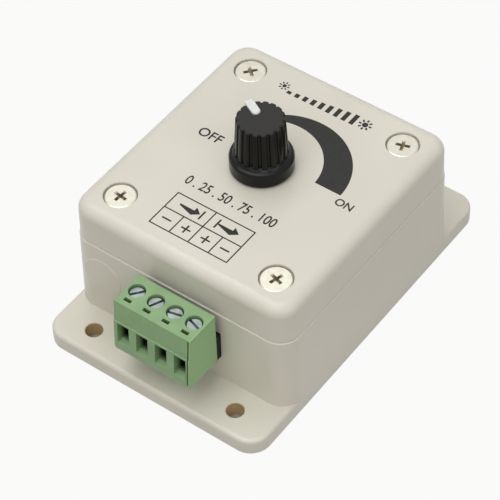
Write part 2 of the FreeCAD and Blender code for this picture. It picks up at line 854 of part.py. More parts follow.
def knurled_end():
    """The grooved and split end of the shaft that the knob is pushed on."""
    points = []
    for i in range(2 * pot_knurl_teeth):
        angle = math.pi * i / pot_knurl_teeth
        r = pot_shaft_r - (pot_knurl_depth if i % 2 else 0)
        points.append(Vector(knob_x + r * math.cos(angle), knob_y + r * math.sin(angle), knurl_z))
    end = flat_face(points).extrude(Vector(0, 0, pot_knurl_length))
    slot = block(knob_x - pot_shaft_r, knob_x + pot_shaft_r, knob_y - pot_shaft_slot / 2,
                 knob_y + pot_shaft_slot / 2, knurl_z, shaft_top_z + past)
    return end.cut([slot])


def pot_shaft():
    groove_bottom = pot_bush_top_z + clip_gap
    groove_top = groove_bottom + clip_thickness
    groove_r = pot_shaft_r - clip_groove
    profile = [(0, pot_rotor_z), (pot_shaft_r, pot_rotor_z), (pot_shaft_r, groove_bottom),
               (groove_r, groove_bottom), (groove_r, groove_top), (pot_shaft_r, groove_top),
               (pot_shaft_r, knurl_z), (0, knurl_z)]
    return joined([turned(profile, knob_x, knob_y), knurled_end()])


def pot_rotor():
    top = pot_rotor_z + pot_rotor_thickness
    disc = rod(knob_x, knob_y, pot_rotor_z, top, pot_rotor_r)
    return disc.cut([rod(knob_x, knob_y, pot_rotor_z - past, top + past, pot_shaft_r)])


def pot_wiper():
    """A spring washer with a raised finger that runs on the track."""
    bottom = pot_rotor_z + pot_rotor_thickness
    top = bottom + pot_wiper_thickness
    outer_r = pot_rotor_r - pot_wiper_inset
    ring = rod(knob_x, knob_y, bottom, top, outer_r)
    ring = ring.cut([rod(knob_x, knob_y, bottom - past, top + past, outer_r - pot_wiper_width)])
    finger_y = knob_y + outer_r - pot_finger_inset
    finger = block(knob_x - pot_finger_width / 2, knob_x + pot_finger_width / 2,
                   finger_y - pot_finger_length, finger_y, top - sunk_short, pot_wafer_z - contact_fit)
    return spun(joined([ring, finger]), knob_x, knob_y, pointer_angle_deg - 90)


def shaft_clip():
    """The open ring in the shaft's groove that keeps it in the neck."""
    bottom = pot_bush_top_z + clip_gap + clip_side_gap
    top = bottom + clip_thickness - 2 * clip_side_gap
    bore = pot_shaft_r - clip_groove + clip_bore_gap
    ring = rod(knob_x, knob_y, bottom, top, clip_r)
    mouth = block(knob_x, knob_x + clip_r + past, knob_y - clip_mouth / 2, knob_y + clip_mouth / 2,
                  bottom - past, top + past)
    return ring.cut([rod(knob_x, knob_y, bottom - past, top + past, bore), mouth])


# Knob


def fluted_outline(r, z):
    """A ring of round ridges with a shallow hollow between each pair, one ridge under the pointer."""
    ridge_half = knob_ridge_share / 2
    shares = [-ridge_half, 0, ridge_half, 0.5, 1 - ridge_half]
    radii = [r, r + knob_ridge_crown, r, r - knob_flute_depth, r]
    pointer_angle = math.radians(pointer_angle_deg)
    edges = []
    for i in range(knob_flutes):
        angles = [pointer_angle + 2 * math.pi * (i + share) / knob_flutes for share in shares]
        spots = [Vector(knob_x + q * math.cos(a), knob_y + q * math.sin(a), z) for q, a in zip(radii, angles)]
        edges.append(Part.Arc(spots[0], spots[1], spots[2]).toShape())
        edges.append(Part.Arc(spots[2], spots[3], spots[4]).toShape())
    return Part.Wire(edges)


def knob_skirt(bore):
    """The turned foot of the knob, hollow underneath round its hub."""
    z0 = knob_bottom_z
    hub = bore + knob_hub_wall
    hollow = z0 + knob_hollow_depth
    root = skirt_top_z + knob_root
    return turned([
        (bore, z0 + knob_hub_lift), (hub, z0 + knob_hub_lift), (hub, hollow), (knob_hollow_r, hollow),
        (knob_hollow_r, z0), (skirt_foot_r, z0), (skirt_r, z0 + skirt_bevel),
        (skirt_r, skirt_top_z - skirt_edge),
        (skirt_r - skirt_edge_middle, skirt_top_z - skirt_edge_middle),
        (skirt_r - skirt_edge, skirt_top_z),
        (knob_body_foot_r + knob_root_middle, skirt_top_z + knob_root_middle),
        (knob_body_foot_r - knob_root_inset, root), (bore, root),
    ], knob_x, knob_y)


def knob_grip(bore):
    """The fluted upper part, which narrows upward and has a small bevel round its flat top."""
    foot = skirt_top_z + sunk_short
    grip = Part.makeLoft([fluted_outline(knob_body_foot_r, foot),
                          fluted_outline(knob_body_top_r, knob_top_z - knob_top_bevel),
                          fluted_outline(knob_body_top_r - knob_top_bevel, knob_top_z)], True, True)
    return grip.cut([rod(knob_x, knob_y, foot - past, knob_bottom_z + knob_bore_depth, bore)])


def knob_body():
    bore = pot_shaft_r + knob_bore_gap
    return joined([knob_skirt(bore), knob_grip(bore)]).cut([pointer_solid(pointer_fit)])


def pointer_solid(grow):
    """The white insert: a bar across the top that turns down the side, with a rounded inner end."""
    half = pointer_width / 2 + grow
    reach = knob_body_top_r + pointer_overhang + grow
    floor = knob_top_z - pointer_depth - grow
    top = knob_top_z + pointer_rise
    start = pointer_start + pointer_width / 2
    fin_x = knob_x + knob_body_top_r - pointer_fin - grow
    fin_z = skirt_top_z + pointer_fin_lift - grow
    bar = block(knob_x + start, knob_x + reach, knob_y - half, knob_y + half, floor, top)
    round_end = rod(knob_x + start, knob_y, floor, top, half)
    fin = block(fin_x, knob_x + reach, knob_y - half, knob_y + half, fin_z, top)
    return spun(joined([bar, round_end, fin]), knob_x, knob_y, pointer_angle_deg)


# Parts on the board


def lead_box(x, y, width, depth, z1):
    return block(x - width / 2, x + width / 2, y - depth / 2, y + depth / 2,
                 board_underside_z - lead_below_board, z1)


def lead_rod(x, y, r, z1):
    return rod(x, y, board_underside_z - lead_below_board, z1, r)


def transistor(y):
    """A power transistor, upright, with its tab towards the side wall."""
    foot = board_top + transistor_lift
    tab_foot = foot + transistor_tab_lift
    tab_top = cover_ceiling - transistor_top_gap
    back = transistor_x - transistor_body_depth / 2
    half = transistor_width / 2
    body = block(back, back + transistor_body_depth, y - half, y + half, foot, foot + transistor_body_height)
    tab = block(back - transistor_tab, back, y - half, y + half, tab_foot, tab_top)
    hole = Part.makeCylinder(transistor_tab_hole_r, transistor_tab + 2 * past,
                             Vector(back - transistor_tab - past, y, tab_top - transistor_tab_hole_drop),
                             Vector(1, 0, 0))
    leads = [lead_box(transistor_x, y + i * transistor_lead_pitch, transistor_lead_depth,
                      transistor_lead_width, foot) for i in (-1, 0, 1)]
    return body, tab.cut([hole]), leads


def capacitor(x, y, r, height, pitch):
    """An upright electrolytic can on its rubber seal, with the crimp near its foot."""
    foot = board_top + capacitor_lift
    seal_top = foot + capacitor_seal_height
    crimp = seal_top + capacitor_crimp_height
    top = foot + height
    can = turned([(0, seal_top), (r, seal_top), (r, crimp - capacitor_crimp_half),
                  (r - capacitor_crimp_depth, crimp), (r, crimp + capacitor_crimp_half),
                  (r, top - capacitor_shoulder), (r - capacitor_shoulder, top), (0, top)], x, y)
    seal = rod(x, y, foot, seal_top, r - capacitor_seal_inset)
    leads = [lead_rod(x, y + side * pitch / 2, capacitor_lead_r, foot) for side in (-1, 1)]
    return can, seal, leads


def chip():
    foot = board_top + chip_lift
    top = foot + chip_height
    shoulder = foot + chip_height / 2
    body = block(chip_x - chip_width / 2, chip_x + chip_width / 2,
                 chip_y - chip_length / 2, chip_y + chip_length / 2, foot, top)
    notch = rod(chip_x, chip_y + chip_length / 2, top - chip_notch_depth, top + past, chip_notch_r)
    leads = []
    for side in (-1, 1):
        x = chip_x + side * chip_lead_row
        inner = chip_x + side * chip_width / 2
        for i in range(chip_row_leads):
            y = chip_y + (i - (chip_row_leads - 1) / 2) * chip_lead_pitch
            down = lead_box(x, y, chip_lead_thickness, chip_lead_width, shoulder)
            across = block(min(inner, x), max(inner, x), y - chip_lead_width / 2, y + chip_lead_width / 2,
                           shoulder - chip_lead_thickness, shoulder)
            leads.append(joined([down, across]))
    return body.cut([notch]), leads


def regulator():
    foot = board_top + regulator_lift
    top = foot + regulator_height
    reach = regulator_r + past
    body = rod(regulator_x, regulator_y, foot, top, regulator_r)
    flat = block(regulator_x - reach, regulator_x + reach, regulator_y - reach,
                 regulator_y - regulator_flat, foot - past, top + past)
    leads = [lead_rod(regulator_x + i * regulator_lead_pitch, regulator_y, regulator_lead_r, foot)
             for i in (-1, 0, 1)]
    return body.cut([flat]), leads


def axial_part(x, y, r, length, pitch, lead_r):
    """A small round part that lies along X, with a lead bent down at each end."""
    z = board_top + axial_lift + r
    body = Part.makeCylinder(r, length, Vector(x - length / 2, y, z), Vector(1, 0, 0))
    leads = []
    for side in (-1, 1):
        bend = x + side * pitch / 2
        across = Part.makeCylinder(lead_r, (pitch - length) / 2, Vector(x + side * length / 2, y, z),
                                   Vector(side, 0, 0))
        knee = Part.makeSphere(lead_r, Vector(bend, y, z))
        leads.append(joined([across, knee, lead_rod(bend, y, lead_r, z)]))
    return body, leads


def ceramic(x, y):
    """A small disc capacitor, standing on its edge."""
    z = board_top + ceramic_lift + ceramic_r
    disc = Part.makeCylinder(ceramic_r, ceramic_thickness, Vector(x, y - ceramic_thickness / 2, z),
                             Vector(0, 1, 0))
    inner_side = ceramic_lead_pitch / 2 - ceramic_lead_r
    meet = z - math.sqrt(ceramic_r ** 2 - inner_side ** 2)
    leads = [lead_rod(x + side * ceramic_lead_pitch / 2, y, ceramic_lead_r, meet).cut([disc])
             for side in (-1, 1)]
    return disc, leads


def split(results):
    """Bodies and leads of several like parts, as two lists."""
    bodies = [result[0] for result in results]
    leads = [lead for result in results for lead in result[-1]]
    return bodies, leads


def save_housing(leads):
    save("base_housing", [base_housing()])
    save("cover", [cover()])
    save("cover_screws", [cover_screw(sx, sy) for sx, sy, x, y in corners(1, 1)])
    save("circuit_board", [circuit_board(leads)])
    save("board_screws", [board_screw(x, y) for sx, sy, x, y in corners(board_post_x, board_post_y)])


def save_terminals(pins):
    save("terminal_header", [terminal_header()])
    save("header_pins", pins)
    save("plug_housing", [plug_housing()])
    save("plug_contacts", [plug_contact(x) for x in pole_x])
    for i, x in enumerate(pole_x):
        save(f"plug_screw_{i + 1}", [pole_screw(x, pole_screw_turns_deg[i % len(pole_screw_turns_deg)])])
        save(f"wire_clamp_{i + 1}", [wire_clamp(x)])


def save_potentiometer(pins):
    save("pot_can", [pot_can()])
    save("pot_wafer", [pot_wafer()])
    save("pot_pins", pins)
    save("pot_bushing", [pot_bushing()])
    save("pot_shaft", [pot_shaft()])
    save("pot_rotor", [pot_rotor()])
    save("pot_wiper", [pot_wiper()])
    save("shaft_clip", [shaft_clip()])
    save("knob_body", [knob_body()])
    save("knob_pointer", [pointer_solid(0)])


def board_parts():
    """The solids of each node that is soldered to the board, and all of their leads."""
    transistors = [transistor(y) for y in transistor_y]
    cans = [capacitor(half_x - large_capacitor_inset, large_capacitor_y, *large_capacitor_size),
            capacitor(small_capacitor_x, half_y - small_capacitor_inset, *small_capacitor_size)]
    chip_body, chip_leads = chip()
    regulator_body, regulator_leads = regulator()
    nodes = {
        "transistor_tabs": [result[1] for result in transistors],
        "capacitor_seals": [result[1] for result in cans],
        "timer_chip": [chip_body],
        "timer_chip_leads": chip_leads,
        "regulator": [regulator_body],
        "regulator_leads": regulator_leads,
    }
    nodes["transistor_bodies"], nodes["transistor_leads"] = split(transistors)
    nodes["capacitor_cans"], nodes["capacitor_leads"] = split(cans)
    nodes["power_diode"], nodes["power_diode_leads"] = split(
        [axial_part(power_diode_x, power_diode_y, power_diode_r, power_diode_length, power_diode_pitch,
                    power_diode_lead_r)])
    nodes["signal_diodes"], nodes["signal_diode_leads"] = split(
        [axial_part(signal_diode_x, half_y - inset, signal_diode_r, signal_diode_length,
                    signal_diode_pitch, signal_diode_lead_r) for inset in signal_diode_insets])
    nodes["resistors"], nodes["resistor_leads"] = split(
        [axial_part(resistor_x, half_y - inset, resistor_r, resistor_length, resistor_pitch,
                    resistor_lead_r) for inset in resistor_insets])
    nodes["ceramic_capacitors"], nodes["ceramic_capacitor_leads"] = split(
        [ceramic(back_ceramic_x, half_y - back_ceramic_inset), ceramic(front_ceramic_x, front_ceramic_y)])
    leads = [lead for node, shapes in nodes.items() if node.endswith("_leads") for lead in shapes]
    return nodes, leads


def main():
    os.makedirs("parts", exist_ok=True)
    header_pins = [header_pin_solid(x) for x in pole_x]
    pot_pins = [pot_pin(i) for i in (-1, 0, 1)]
    nodes, leads = board_parts()
    save_housing(header_pins + pot_pins + leads)
    save_terminals(header_pins)
    save_potentiometer(pot_pins)
    for node, shapes in nodes.items():
        save(node, shapes)


main()
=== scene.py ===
# %% [markdown]
# # A rotary dimmer for light strips
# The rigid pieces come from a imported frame, where each one already has its real size and place.
# They could be modelled again here, but then they might no longer fit each other and their joints.
# So this lesson gives every piece its finish, adds the printing on the cover, and then sets the
# camera, the floor and the light.

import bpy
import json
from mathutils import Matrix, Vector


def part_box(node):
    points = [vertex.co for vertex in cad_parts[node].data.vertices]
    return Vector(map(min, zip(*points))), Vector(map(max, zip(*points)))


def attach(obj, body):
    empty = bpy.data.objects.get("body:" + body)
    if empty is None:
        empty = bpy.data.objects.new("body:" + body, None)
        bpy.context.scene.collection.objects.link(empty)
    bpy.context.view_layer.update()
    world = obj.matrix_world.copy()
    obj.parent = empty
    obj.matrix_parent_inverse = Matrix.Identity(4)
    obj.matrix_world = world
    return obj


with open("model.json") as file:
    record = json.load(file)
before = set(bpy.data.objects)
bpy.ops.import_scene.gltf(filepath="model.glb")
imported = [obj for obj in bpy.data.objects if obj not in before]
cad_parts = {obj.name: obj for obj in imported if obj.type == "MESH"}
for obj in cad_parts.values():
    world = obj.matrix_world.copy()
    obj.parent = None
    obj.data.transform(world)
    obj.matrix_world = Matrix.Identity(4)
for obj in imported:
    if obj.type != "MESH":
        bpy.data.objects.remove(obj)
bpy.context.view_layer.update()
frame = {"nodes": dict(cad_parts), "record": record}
print("pieces in the frame:", len(frame["nodes"]))

# %% [markdown]
# ## Units and colours
# Blender works in metres here, and the object is easier to describe in millimetres, so every size
# below is in millimetres and is turned to metres where it is used. Colours are picked as sRGB hex
# values, as a paint program shows them, while a shader wants linear light. One function converts.

# %% Units and colours
import json
import math

import bmesh
import bpy
from mathutils import Matrix, Vector

MM = 0.001
NODES = frame["nodes"]


def linear(hex_colour):
    """An sRGB hex colour as linear red, green, blue and alpha."""
    channels = [int(hex_colour[i:i + 2], 16) / 255 for i in (1, 3, 5)]
    straight, curved = 12.92, 2.4
    light = [value / straight if value <= 0.04045 else ((value + 0.055) / 1.055) ** curved
             for value in channels]
    return (*light, 1.0)


def box_mm(node):
    """Lowest and highest corner of a node, in millimetres."""
    low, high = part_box(node)
    return low / MM, high / MM


print("mid grey in linear light:", round(linear("#808080")[0], 3))

# %% [markdown]
# ## Building a material from nodes
# A material is a small graph. It could be drawn by hand in the shader editor, but a script can be
# read, changed and run again. One function adds a node, sets its values and joins its inputs, so
# each material below reads as a short list of what it is made of.

# %% Nodes and materials
def add_node(material, kind, settings=None, links=None):
    """Adds a node to a material or a world. Settings and links go by an input's name or number,
    and settings also by a property's name."""
    tree = material.node_tree
    node = tree.nodes.new(kind)
    for key, value in (settings or {}).items():
        if isinstance(key, str) and key not in node.inputs:
            setattr(node, key, value)
        else:
            node.inputs[key].default_value = value
    for key, source in (links or {}).items():
        tree.links.new(source, node.inputs[key])
    return node


def new_material(name, hex_colour, **values):
    """A material with one principled shader. Underscores in the keys stand for spaces."""
    material = bpy.data.materials.new(name)
    material.use_nodes = True
    material.node_tree.nodes.clear()
    settings = {key.replace("_", " "): value for key, value in values.items()}
    shader = add_node(material, "ShaderNodeBsdfPrincipled",
                      {"Base Color": linear(hex_colour), **settings})
    add_node(material, "ShaderNodeOutputMaterial", links={"Surface": shader.outputs["BSDF"]})
    return material


def find_node(material, node_type):
    """The material's only node of a type, such as its shader."""
    return next(node for node in material.node_tree.nodes if node.type == node_type)


def finish_with(material, *node_names):
    """Gives CAD nodes their material, in place of the plain one that they came with."""
    for name in node_names:
        slots = NODES[name].data.materials
        slots.clear()
        slots.append(material)
    print(material.name, "on", ", ".join(node_names))


print("plain materials that came with the pieces:", len(bpy.data.materials))

# %% [markdown]
# ## Patterns on a surface
# No real surface has one flat colour and one even gloss. Photographs of surfaces could show that,
# but they need unwrapped meshes. Soft noise needs none: the shader works it out at each point. It
# is placed by object coordinates, which are metres on the piece itself, so it stays on the piece
# when that moves. A pattern that repeats every so many millimetres needs the scale
# 1 / (that size in metres). The real grain of plated and moulded surfaces is finer than a pixel
# from here, so the grains below are drawn coarser, mostly a quarter of a millimetre or more, and
# very shallow.

# %% Patches, paint and grain
noise_low, noise_high = 0.3, 0.7


def repeat_every(size_mm):
    """The texture scale at which a pattern repeats every so many millimetres."""
    return 1 / (size_mm * MM)


def patches(material, size_mm, low=0.0, high=1.0, detail=2.0):
    """Soft random values from low to high, in patches of about the given size."""
    spot = add_node(material, "ShaderNodeTexCoord").outputs["Object"]
    noise = add_node(material, "ShaderNodeTexNoise",
                     {"Scale": repeat_every(size_mm), "Detail": detail}, {"Vector": spot})
    scaled = add_node(material, "ShaderNodeMapRange",
                      {"From Min": noise_low, "From Max": noise_high,
                       "To Min": low, "To Max": high}, {"Value": noise.outputs["Fac"]})
    return scaled.outputs["Result"]


def vary(material, name, source):
    """Lets a pattern set one input of the material's shader."""
    shader = find_node(material, "BSDF_PRINCIPLED")
    material.node_tree.links.new(source, shader.inputs[name])


def paint_over(material, amount, colour):
    """Lays a hex colour, or a node's colour, over the present one. The amount goes from 0 to 1."""
    so_far = find_node(material, "BSDF_PRINCIPLED").inputs["Base Color"]
    settings, links = {"data_type": "RGBA"}, {0: amount}
    if so_far.is_linked:
        links[6] = so_far.links[0].from_socket
    else:
        settings[6] = tuple(so_far.default_value)
    if isinstance(colour, str):
        settings[7] = linear(colour)
    else:
        links[7] = colour
    mix = add_node(material, "ShaderNodeMix", settings, links)
    vary(material, "Base Color", mix.outputs[2])


def grain(material, size_mm, depth_mm):
    """Raises and sinks the surface in small soft spots, by about the given depth."""
    spot = add_node(material, "ShaderNodeTexCoord").outputs["Object"]
    noise = add_node(material, "ShaderNodeTexNoise", {"Scale": repeat_every(size_mm)},
                     {"Vector": spot})
    bump = add_node(material, "ShaderNodeBump", {"Strength": 1.0, "Distance": depth_mm * MM},
                    {"Height": noise.outputs["Fac"]})
    vary(material, "Normal", bump.outputs["Normal"])


print("a pattern that repeats every 2 mm has the scale", repeat_every(2))

# %% [markdown]
# ## The camera
# The photographer stood at the terminal end, a little to the right, and looked down on the box
# through a long lens. The view was worked out from the box's edges, its screws and its holes, so
# the camera is given by where it looks, from which side, how far away, and how much it is tilted.

# %% Camera
camera_aim = Vector((0.88, -6.75, 15.0))
camera_azimuth = math.radians(37.95)
camera_elevation = math.radians(48.13)
camera_distance = 480.98
camera_roll = math.radians(-2.244)
camera_lens = 155.91
camera_nearest = 10.0

towards_camera = Vector((math.sin(camera_azimuth) * math.cos(camera_elevation),
                         -math.cos(camera_azimuth) * math.cos(camera_elevation),
                         math.sin(camera_elevation)))
camera = bpy.data.objects.new("camera", bpy.data.cameras.new("camera"))
camera.data.lens = camera_lens
camera.data.clip_start = camera_nearest * MM
camera.location = (camera_aim + towards_camera * camera_distance) * MM
turn = towards_camera.to_track_quat("Z", "Y").to_matrix() @ Matrix.Rotation(camera_roll, 3, "Z")
camera.rotation_euler = turn.to_euler()
bpy.context.scene.collection.objects.link(camera)
bpy.context.scene.camera = camera
bpy.context.scene.view_settings.view_transform = "Standard"
print("camera at", [round(place / MM, 1) for place in camera.location], "mm")

# %% [markdown]
# ## Floor
# The object lies on plain pale paper, which is matte and a little mottled. It is a flat grid, wide
# enough for every view. A curved backdrop would show its bend when the camera goes round to the
# sides. The paper's warm grey is what lights the side walls from below.

# %% Floor
floor_width = 3000.0
floor_cells = 4

paper = new_material("pale paper", "#A9A499", Roughness=0.85)
paint_over(paper, patches(paper, size_mm=0.8, low=0.3, high=0.7), "#B1ACA1")

sheet = bmesh.new()
bmesh.ops.create_grid(sheet, x_segments=floor_cells, y_segments=floor_cells,
                      size=floor_width / 2 * MM)
floor_mesh = bpy.data.meshes.new("floor")
sheet.to_mesh(floor_mesh)
sheet.free()
floor_mesh.materials.append(paper)
floor = bpy.data.objects.new("floor", floor_mesh)
bpy.context.scene.collection.objects.link(floor)
print("floor", floor_width, "mm wide")

# %% [markdown]
# To the camera and to reflections the paper is close to full white, and it keeps a faint part of
# its real shading, so that the object still has a shadow. To soft light it stays grey. More light
# would make the paper white too, but it would bleach the object, so the light path tells the two
# kinds of ray apart. Under the plate the paper keeps all of its shading, because it is dark down
# there, and the four mounting holes let the camera look at it.

# %% White paper with a shadow
floor_white = 0.93
under_plate_x, under_plate_y = 24.0, 42.2


def seen_directly(material):
    """One for rays from the camera, from a reflection or through glass, and zero for soft light."""
    rays = add_node(material, "ShaderNodeLightPath").outputs
    either = add_node(material, "ShaderNodeMath", {"operation": "MAXIMUM"},
                      {0: rays["Is Camera Ray"], 1: rays["Is Glossy Ray"]}).outputs[0]
    return add_node(material, "ShaderNodeMath", {"operation": "MAXIMUM"},
                    {0: either, 1: rays["Is Transmission Ray"]}).outputs[0]


spot = add_node(paper, "ShaderNodeTexCoord").outputs["Object"]
across = add_node(paper, "ShaderNodeSeparateXYZ", links={"Vector": spot}).outputs
outside = []
for axis, reach in (("X", under_plate_x), ("Y", under_plate_y)):
    distance = add_node(paper, "ShaderNodeMath", {"operation": "ABSOLUTE"}, {0: across[axis]})
    outside.append(add_node(paper, "ShaderNodeMath", {"operation": "GREATER_THAN", 1: reach * MM},
                            {0: distance.outputs[0]}).outputs[0])
open_floor = add_node(paper, "ShaderNodeMath", {"operation": "MAXIMUM"},
                      {0: outside[0], 1: outside[1]})
shown_white = add_node(paper, "ShaderNodeMath", {"operation": "MULTIPLY"},
                       {0: seen_directly(paper), 1: open_floor.outputs[0]})
share = add_node(paper, "ShaderNodeMath", {"operation": "MULTIPLY", 1: floor_white},
                 {0: shown_white.outputs[0]})
glow = add_node(paper, "ShaderNodeEmission", {"Strength": 1.0})
shaded = find_node(paper, "BSDF_PRINCIPLED")
mixed = add_node(paper, "ShaderNodeMixShader",
                 links={0: share.outputs[0], 1: shaded.outputs["BSDF"], 2: glow.outputs["Emission"]})
paper.node_tree.links.new(mixed.outputs["Shader"],
                          find_node(paper, "OUTPUT_MATERIAL").inputs["Surface"])
print(paper.name, "is seen as", floor_white, "white outside the plate")

# %% [markdown]
# ## Light
# The sky could light everything by itself, but an object under an even sky has no shadow that
# shows its form. So the sky is rather dim, and large soft lamps do the rest, as in a product
# photographer's tent. To the camera and to reflections the sky is white.

# %% Sky
sky_strength = 0.33

world = bpy.data.worlds.new("studio")
world.use_nodes = True
world.node_tree.nodes.clear()
sky = add_node(world, "ShaderNodeBackground", {"Color": (1, 1, 1, 1), "Strength": sky_strength})
white = add_node(world, "ShaderNodeBackground", {"Color": (1, 1, 1, 1), "Strength": 1.0})
backdrop = add_node(world, "ShaderNodeMixShader",
                    links={0: seen_directly(world), 1: sky.outputs["Background"],
                           2: white.outputs["Background"]})
add_node(world, "ShaderNodeOutputWorld", links={"Surface": backdrop.outputs["Shader"]})
bpy.context.scene.world = world
print("sky strength:", sky_strength)

# %% [markdown]
# A wide lamp overhead, to the left and a little to the back, lights the cover, so the knob's and
# the plug's shadows fall to the right and to the front. A high lamp in front lights the flange and
# the terminal side, one at the right lights the long side, and a small one between them lifts the
# near corner. The levels add up to about one on a level surface, so that a colour there renders
# about as written.

# %% Lamps
lamp_aim = (0, 0, 15)


def soft_lamp(name, position_mm, width_mm, watts):
    """A square lamp that faces the middle of the object."""
    data = bpy.data.lights.new(name, "AREA")
    data.size = width_mm * MM
    data.energy = watts
    lamp = bpy.data.objects.new(name, data)
    lamp.location = Vector(position_mm) * MM
    lamp.rotation_euler = (Vector(position_mm) - Vector(lamp_aim)).to_track_quat("Z", "Y").to_euler()
    bpy.context.scene.collection.objects.link(lamp)
    print("lamp", name, "of", watts, "W")


soft_lamp("overhead", (-130, 40, 620), width_mm=420, watts=1.38)
soft_lamp("front", (-30, -330, 560), width_mm=360, watts=1.0)
soft_lamp("right", (430, -20, 380), width_mm=260, watts=0.32)
soft_lamp("front right", (300, -300, 380), width_mm=180, watts=0.3)

# %% [markdown]
# ## Housing: moulded ABS
# Both halves of the box are beige ABS from a steel mould with a fine, even spark-eroded surface.
# That gives a soft sheen, not a mirror, and broad gentle highlights on the rounded edges. The
# mould's grain is about a tenth of a millimetre, too fine to show from here, so it is drawn
# coarser and very shallow. The colour drifts a little where the melt cooled at different rates.

# %% Moulded ABS
housing_drift = 22.0

abs_beige = new_material("moulded ABS beige", "#D7D3C5", IOR=1.53)
paint_over(abs_beige, patches(abs_beige, housing_drift, detail=1.0), "#DDD9CC")
vary(abs_beige, "Roughness", patches(abs_beige, housing_drift / 3, low=0.3, high=0.37))
grain(abs_beige, size_mm=0.35, depth_mm=0.006)
finish_with(abs_beige, "base_housing", "cover")

# %% [markdown]
# The walls of the four mounting holes look brown, because light shines through the thin plate
# there. Real light through plastic takes long to render and would hardly show anywhere else, so
# the walls are painted. A point is on a wall when it is as far from the nearest hole's axis as
# the hole's radius. Folding the plate twice, by taking X and Y without their signs, lays all four
# axes on one.

# %% Mounting hole walls
holes = next(mount["dims"] for mount in frame["record"]["mounts"]
             if mount["name"] == "mounting_holes")
hole_axis = Vector((holes["spacing_x_mm"] / 2, holes["spacing_y_mm"] / 2, 0))
wall_end, plate_start = holes["hole_r_mm"] + 0.02, holes["hole_r_mm"] + 0.2

spot = add_node(abs_beige, "ShaderNodeTexCoord").outputs["Object"]
folded = add_node(abs_beige, "ShaderNodeVectorMath", {"operation": "ABSOLUTE"}, {0: spot})
flat = add_node(abs_beige, "ShaderNodeVectorMath", {"operation": "MULTIPLY", 1: (1, 1, 0)},
                {0: folded.outputs[0]})
from_axis = add_node(abs_beige, "ShaderNodeVectorMath",
                     {"operation": "DISTANCE", 1: hole_axis * MM}, {0: flat.outputs[0]})
on_wall = add_node(abs_beige, "ShaderNodeMapRange",
                   {"From Min": wall_end * MM, "From Max": plate_start * MM,
                    "To Min": 1, "To Max": 0}, {"Value": from_axis.outputs["Value"]})
paint_over(abs_beige, on_wall.outputs["Result"], "#C6AE84")
print("holes at", hole_axis[:2], "mm and their mirror images")

# %% [markdown]
# ## Cover screws: nickel-plated steel
# The heads are pressed and plated, and they have gone slightly creamy. They are bright but not
# polished. The pressed cross and the rim under the head lie in shade, and that shade is painted
# brown. It could be a second material on chosen faces, but it has no sharp edge, so the colour goes
# by height on the piece: bright down to just under the head's face, and painted brown shade below
# that. A metal's colour is its base colour, and its index of refraction stays at the default.

# %% Nickel-plated steel
# Below the bright face of each head, the brown colour is painted shade.
head_face = 0.22  # how deep the clean face reaches


def fade(material, axis, start_mm, end_mm):
    """Zero at one place along an axis of the piece, one at another, and even between them."""
    spot = add_node(material, "ShaderNodeTexCoord").outputs["Object"]
    along = add_node(material, "ShaderNodeSeparateXYZ", links={"Vector": spot}).outputs[axis]
    return add_node(material, "ShaderNodeMapRange",
                    {"From Min": start_mm * MM, "From Max": end_mm * MM},
                    {"Value": along}).outputs["Result"]


# The brown base colour and its mottling are the painted shade in the cross and under the rim.
nickel = new_material("nickel plated steel", "#968C76", Metallic=1.0)
paint_over(nickel, patches(nickel, size_mm=0.4, low=0.3, high=0.7), "#A79E88")
screw_top = box_mm("cover_screws")[1].z
face = fade(nickel, "Z", screw_top - 2 * head_face, screw_top - head_face)
plate = add_node(nickel, "ShaderNodeMix",
                 {"data_type": "RGBA", 6: linear("#C9C6B8"), 7: linear("#D3D0C3")},
                 {0: patches(nickel, size_mm=1.2)})
paint_over(nickel, face, plate.outputs[2])
gloss = add_node(nickel, "ShaderNodeMapRange", {"To Min": 0.6, "To Max": 0.36}, {"Value": face})
vary(nickel, "Roughness", gloss.outputs["Result"])
grain(nickel, size_mm=0.3, depth_mm=0.002)
finish_with(nickel, "cover_screws")

# %% [markdown]
# ## Terminal screws and clamps: zinc-plated steel
# Bright zinc is a little bluer and shinier than nickel, and small parts come out of the plating
# barrel with soft scratches. The terminal screws have been handled and turned, so their plating is
# duller and darker, and they get a second material.

# %% Zinc-plated steel
poles = (1, 2, 3, 4)

zinc = new_material("zinc plated steel", "#B4BDBC", Metallic=1.0)
paint_over(zinc, patches(zinc, size_mm=0.9), "#D0D7D6")
vary(zinc, "Roughness", patches(zinc, size_mm=0.4, low=0.2, high=0.36))
grain(zinc, size_mm=0.25, depth_mm=0.003)
finish_with(zinc, *[f"wire_clamp_{pole}" for pole in poles], "board_screws", "shaft_clip")

worn_zinc = new_material("zinc plated steel worn", "#808A88", Metallic=1.0)
paint_over(worn_zinc, patches(worn_zinc, size_mm=1.6), "#9DA6A4")
vary(worn_zinc, "Roughness", patches(worn_zinc, size_mm=0.8, low=0.3, high=0.38))
grain(worn_zinc, size_mm=0.8, depth_mm=0.001)
finish_with(worn_zinc, *[f"plug_screw_{pole}" for pole in poles])

# %% [markdown]
# ## Knob: black moulded ABS
# The fluted side comes glossy from a polished mould, while the top is a fine matte grain, so the
# side looks black with thin highlights. The top's dark grey is painted light: the sheen that the
# matte grain takes from the bright sky is painted into a lighter grey colour. Two materials would
# need the faces told apart one by one. The gloss and the painted sheen belong to one moulding, so
# one material tells them apart by height on the piece.

# %% Knob
matte_top_depth = 0.25

